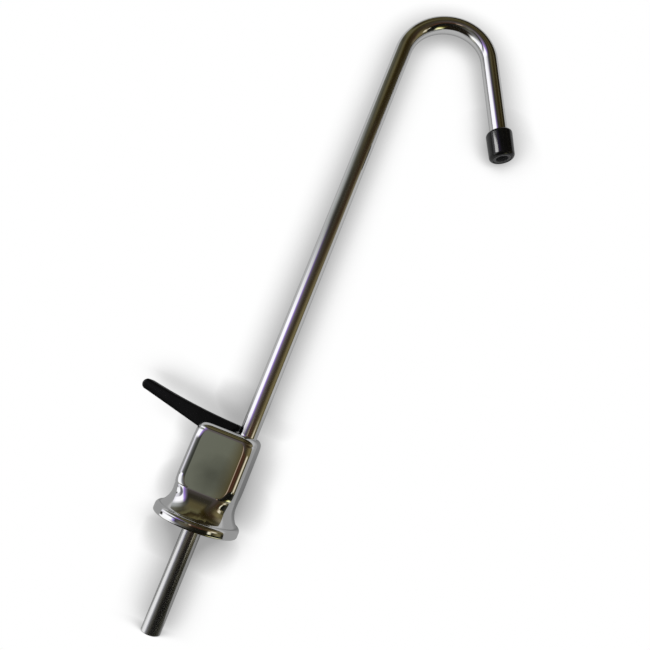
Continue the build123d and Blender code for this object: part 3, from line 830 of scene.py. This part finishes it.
dark_below = room_band([(-180, 24, 20, 13), (180, 24, 20, 13)])
room = blend_up(dark_below, table_band, -56, -46)
room = blend_up(room, under_band, -38, -31)
room = blend_up(room, low_band, -13.5, -12.3)
room = blend_up(room, body_band, -10.4, -9.2)
room = blend_up(room, window_band, -2.5, 0)
room = blend_up(room, shelf_band, 11, 21)
room = blend_up(room, ceiling_band, 25, 34)

# Overhead: beams and shades of the room above, one tone over the other, with wavering edges. The
# round upper sides of the chrome mirror them.
beam_waver = 0.24
beam_tilt = 0.28
overhead_start, overhead_full = 0.62, 0.74
overhead = nodes.new("ShaderNodeValToRGB")
waver = noise(nodes, links, heading, 4.5, 2.0)
wavered = nodes.new("ShaderNodeMath")
wavered.operation = "MULTIPLY_ADD"
links.new(waver, wavered.inputs[0])
wavered.inputs[1].default_value = beam_waver
tilted = nodes.new("ShaderNodeMath")
tilted.operation = "MULTIPLY_ADD"
links.new(parts.outputs["X"], tilted.inputs[0])
tilted.inputs[1].default_value = beam_tilt
links.new(upward, tilted.inputs[2])
links.new(tilted.outputs["Value"], wavered.inputs[2])
links.new(wavered.outputs["Value"], overhead.inputs["Fac"])
overhead_tones = [(0.0, 52, 45, 28), (0.62, 44, 37, 23), (0.7, 82, 78, 54), (0.78, 90, 86, 60),
                  (0.84, 44, 37, 22), (0.92, 58, 50, 30), (0.98, 86, 80, 52), (1.0, 34, 29, 18)]
while len(overhead.color_ramp.elements) < len(overhead_tones):
    overhead.color_ramp.elements.new(0.5)
for element, (position, *tone) in zip(overhead.color_ramp.elements, overhead_tones):
    element.position = position
    element.color = (*[linear(channel) for channel in tone], 1)
in_front = remap(nodes, links, towards.outputs["Value"], -0.1, 0.25, 0, 1)
shared = nodes.new("ShaderNodeMath")
shared.operation = "MULTIPLY"
links.new(in_front, shared.inputs[0])
links.new(remap(nodes, links, upward, overhead_start, overhead_full, 0, 1), shared.inputs[1])
over_room = nodes.new("ShaderNodeMix")
over_room.data_type = "RGBA"
links.new(shared.outputs["Value"], over_room.inputs["Factor"])
links.new(room, over_room.inputs["A"])
links.new(overhead.outputs["Color"], over_room.inputs["B"])
room = over_room.outputs["Result"]

# Smudge: a dark patch with a frayed edge, low in the room in front of the tap. It shows dimly in
# the flat of the cover.
smudge_way = Vector((-0.153, -0.981, -0.118))
smudge_core, smudge_rim = 0.018, 0.055
smudge_fray = 0.03
smudge_depth = 0.6
apart = nodes.new("ShaderNodeVectorMath")
apart.operation = "DISTANCE"
links.new(heading, apart.inputs[0])
apart.inputs[1].default_value = smudge_way
smudge_wave = noise(nodes, links, heading, 40.0, 3.0)
smudge_edge = nodes.new("ShaderNodeMath")
smudge_edge.operation = "MULTIPLY_ADD"
links.new(smudge_wave, smudge_edge.inputs[0])
smudge_edge.inputs[1].default_value = smudge_fray
links.new(apart.outputs["Value"], smudge_edge.inputs[2])
smudged = nodes.new("ShaderNodeVectorMath")
smudged.operation = "SCALE"
links.new(room, smudged.inputs[0])
links.new(remap(nodes, links, smudge_edge.outputs["Value"], smudge_core, smudge_rim,
                smudge_depth, 1.0), smudged.inputs["Scale"])
room = smudged.outputs["Vector"]
mirrored = nodes.new("ShaderNodeBackground")
mirrored.inputs["Strength"].default_value = room_gain
links.new(room, mirrored.inputs["Color"])
lit = nodes.new("ShaderNodeBackground")
lit.inputs["Color"].default_value = (1, 1, 1, 1)
lit.inputs["Strength"].default_value = light_level
seen = nodes.new("ShaderNodeBackground")
seen.inputs["Color"].default_value = (1, 1, 1, 1)
seen.inputs["Strength"].default_value = paper_white
ray = nodes.new("ShaderNodeLightPath")
through_or_off = nodes.new("ShaderNodeMath")
through_or_off.operation = "MAXIMUM"
links.new(ray.outputs["Is Glossy Ray"], through_or_off.inputs[0])
links.new(ray.outputs["Is Transmission Ray"], through_or_off.inputs[1])
light_or_room = nodes.new("ShaderNodeMixShader")
links.new(through_or_off.outputs["Value"], light_or_room.inputs["Fac"])
links.new(lit.outputs["Background"], light_or_room.inputs[1])
links.new(mirrored.outputs["Background"], light_or_room.inputs[2])
background = nodes.new("ShaderNodeMixShader")
links.new(ray.outputs["Is Camera Ray"], background.inputs["Fac"])
links.new(light_or_room.outputs["Shader"], background.inputs[1])
links.new(seen.outputs["Background"], background.inputs[2])
world_out = nodes.new("ShaderNodeOutputWorld")
links.new(background.outputs["Shader"], world_out.inputs["Surface"])

# Paper: the white sheet close behind the tap, creased to sit just behind the tubes and the body,
# and the pale floor that the inlet tube stands on. Both glow white and carry a painted shade: an
# occlusion test aimed at a point by the lens greys them, so the tap's shade sits straight behind
# it, all the way round.
shade_reach = 24.0 * MM
shade_aim_place = Vector((46.5, -300.9, 60.6)) * MM
body_paper_shade_in_metal = 0.36
tube_paper_shade_in_metal = 0.52
body_paper_top = 55.0 * MM
tube_paper_low = 75.0 * MM
shade_tones = [
    (0.5, 160, 160, 160), (0.58, 180, 180, 180), (0.69, 199, 199, 199), (0.765, 213, 213, 213),
    (0.825, 227, 227, 227), (0.865, 238, 238, 238), (0.9, 247, 247, 247), (0.94, 253, 253, 253),
    (0.97, 255, 255, 255)]


def white_paper(name):
    """Matt white paper that glows white, with painted shade where the tap comes within reach of it,
    and clear from behind.
    """
    paper, nodes, links, shader, place = start_material(name)
    nodes.remove(shader)
    closeness = nodes.new("ShaderNodeAmbientOcclusion")
    closeness.inputs["Distance"].default_value = shade_reach
    closeness.samples = 48
    to_shade_aim = nodes.new("ShaderNodeVectorMath")
    to_shade_aim.operation = "SUBTRACT"
    to_shade_aim.inputs[0].default_value = shade_aim_place
    links.new(place, to_shade_aim.inputs[1])
    straight = nodes.new("ShaderNodeVectorMath")
    straight.operation = "NORMALIZE"
    links.new(to_shade_aim.outputs["Vector"], straight.inputs[0])
    links.new(straight.outputs["Vector"], closeness.inputs["Normal"])
    shade = nodes.new("ShaderNodeValToRGB")
    links.new(closeness.outputs["AO"], shade.inputs["Fac"])
    while len(shade.color_ramp.elements) < len(shade_tones):
        shade.color_ramp.elements.new(0.5)
    for element, (position, *tone) in zip(shade.color_ramp.elements, shade_tones):
        element.position = position
        element.color = (*[linear(channel) for channel in tone], 1)
    ray = nodes.new("ShaderNodeLightPath")
    glow = nodes.new("ShaderNodeEmission")
    # Painted shade: the chrome is shown the paper greyer than the camera sees it, most of all the
    # part behind the body
    height = nodes.new("ShaderNodeSeparateXYZ")
    links.new(place, height.inputs["Vector"])
    mirrored_paper_shade = nodes.new("ShaderNodeMix")
    links.new(ray.outputs["Is Glossy Ray"], mirrored_paper_shade.inputs["Factor"])
    mirrored_paper_shade.inputs["A"].default_value = paper_white
    links.new(remap(nodes, links, height.outputs["Z"], body_paper_top, tube_paper_low,
                    body_paper_shade_in_metal, tube_paper_shade_in_metal), mirrored_paper_shade.inputs["B"])
    links.new(mirrored_paper_shade.outputs["Result"], glow.inputs["Strength"])
    links.new(shade.outputs["Color"], glow.inputs["Color"])
    sheet = nodes.new("ShaderNodeBsdfDiffuse")
    sheet.inputs["Color"].default_value = (0.8, 0.8, 0.8, 1)
    seen_or_mirrored = nodes.new("ShaderNodeMath")
    seen_or_mirrored.operation = "MAXIMUM"
    links.new(ray.outputs["Is Camera Ray"], seen_or_mirrored.inputs[0])
    links.new(ray.outputs["Is Glossy Ray"], seen_or_mirrored.inputs[1])
    front_side = nodes.new("ShaderNodeMixShader")
    links.new(seen_or_mirrored.outputs["Value"], front_side.inputs["Fac"])
    links.new(sheet.outputs["BSDF"], front_side.inputs[1])
    links.new(glow.outputs["Emission"], front_side.inputs[2])
    clear = nodes.new("ShaderNodeBsdfTransparent")
    side = nodes.new("ShaderNodeNewGeometry")
    one_sided = nodes.new("ShaderNodeMixShader")
    links.new(side.outputs["Backfacing"], one_sided.inputs["Fac"])
    links.new(front_side.outputs["Shader"], one_sided.inputs[1])
    links.new(clear.outputs["BSDF"], one_sided.inputs[2])
    links.new(one_sided.outputs["Shader"], nodes["Material Output"].inputs["Surface"])
    return paper


paper_half = 0.7
paper_high = 0.8
floor_gap = 0.05 * MM
behind_tubes = 10.0 * MM
behind_body = flange_r + 1.0 * MM
paper_folds = [(behind_tubes, -8 * MM), (behind_body, -1 * MM), (behind_body, 52 * MM),
               (behind_tubes, 64 * MM), (behind_tubes, paper_high)]
deselect()
bpy.ops.mesh.primitive_plane_add(size=1, location=(0, 0, 0))
backdrop = bpy.context.object
backdrop.name = "paper_sheet"
paper_low = inlet_low - floor_gap
fold_y, fold_z = paper_folds[0]
for vertex in backdrop.data.vertices:
    x, y, z = vertex.co
    vertex.co = (camera_place.x + math.copysign(paper_half, x), fold_y,
                 fold_z if y > 0 else paper_low)
for next_y, next_z in paper_folds[1:]:
    for edge in backdrop.data.edges:
        ends = [backdrop.data.vertices[i].co for i in edge.vertices]
        edge.select = all(abs(end.z - fold_z) < touching for end in ends)
    for polygon in backdrop.data.polygons:
        polygon.select = False
    for vertex in backdrop.data.vertices:
        vertex.select = abs(vertex.co.z - fold_z) < touching
    bpy.ops.object.mode_set(mode="EDIT")
    bpy.context.tool_settings.mesh_select_mode = (False, True, False)
    bpy.ops.mesh.extrude_edges_move(
        TRANSFORM_OT_translate={"value": (0, next_y - fold_y, next_z - fold_z)})
    bpy.ops.object.mode_set(mode="OBJECT")
    fold_y, fold_z = next_y, next_z
bpy.ops.object.mode_set(mode="EDIT")
bpy.ops.mesh.select_all(action="SELECT")
bpy.ops.mesh.normals_make_consistent(inside=False)
bpy.ops.object.mode_set(mode="OBJECT")
if backdrop.data.polygons[0].normal.y > 0:
    backdrop.data.flip_normals()
backdrop.data.materials.append(white_paper("white_sheet"))
deselect()
bpy.ops.mesh.primitive_plane_add(size=2 * paper_half, location=(0, 0, paper_low))
floor = bpy.context.object
bpy.ops.object.transform_apply(location=True, rotation=True, scale=True)
floor.name = "floor"
floor.data.materials.append(white_paper("white_floor"))
floor.visible_glossy = False
floor.visible_shadow = False
backdrop.visible_shadow = False

# Window light: a soft lamp in the window's place, far off on the left, whose shine shapes the
# black rubber and plastic. The chrome mirrors the room's window, so the lamp leaves it out.
window_aim = Vector((0.03, 0, 0.03))
window_bearing = math.radians(-58)
window_rise = math.radians(7)
window_away = 2.0
window_data = bpy.data.lights.new("window_lamp", "AREA")
window_data.shape = "RECTANGLE"
window_data.size = 0.85
window_data.size_y = 0.55
window_data.energy = 18.0
window = bpy.data.objects.new("window_lamp", window_data)
bpy.context.scene.collection.objects.link(window)
window_way = Vector((math.cos(window_rise) * math.sin(window_bearing),
                     -math.cos(window_rise) * math.cos(window_bearing), math.sin(window_rise)))
window.location = window_aim + window_away * window_way
window.rotation_euler = (-window_way).to_track_quat("-Z", "Y").to_euler()
black_pieces = bpy.data.collections.new("black_pieces")
for piece in (lever, outlet_tip, outlet_ring):
    black_pieces.objects.link(piece)
window.light_linking.receiver_collection = black_pieces

bpy.context.scene.view_settings.view_transform = "Standard"
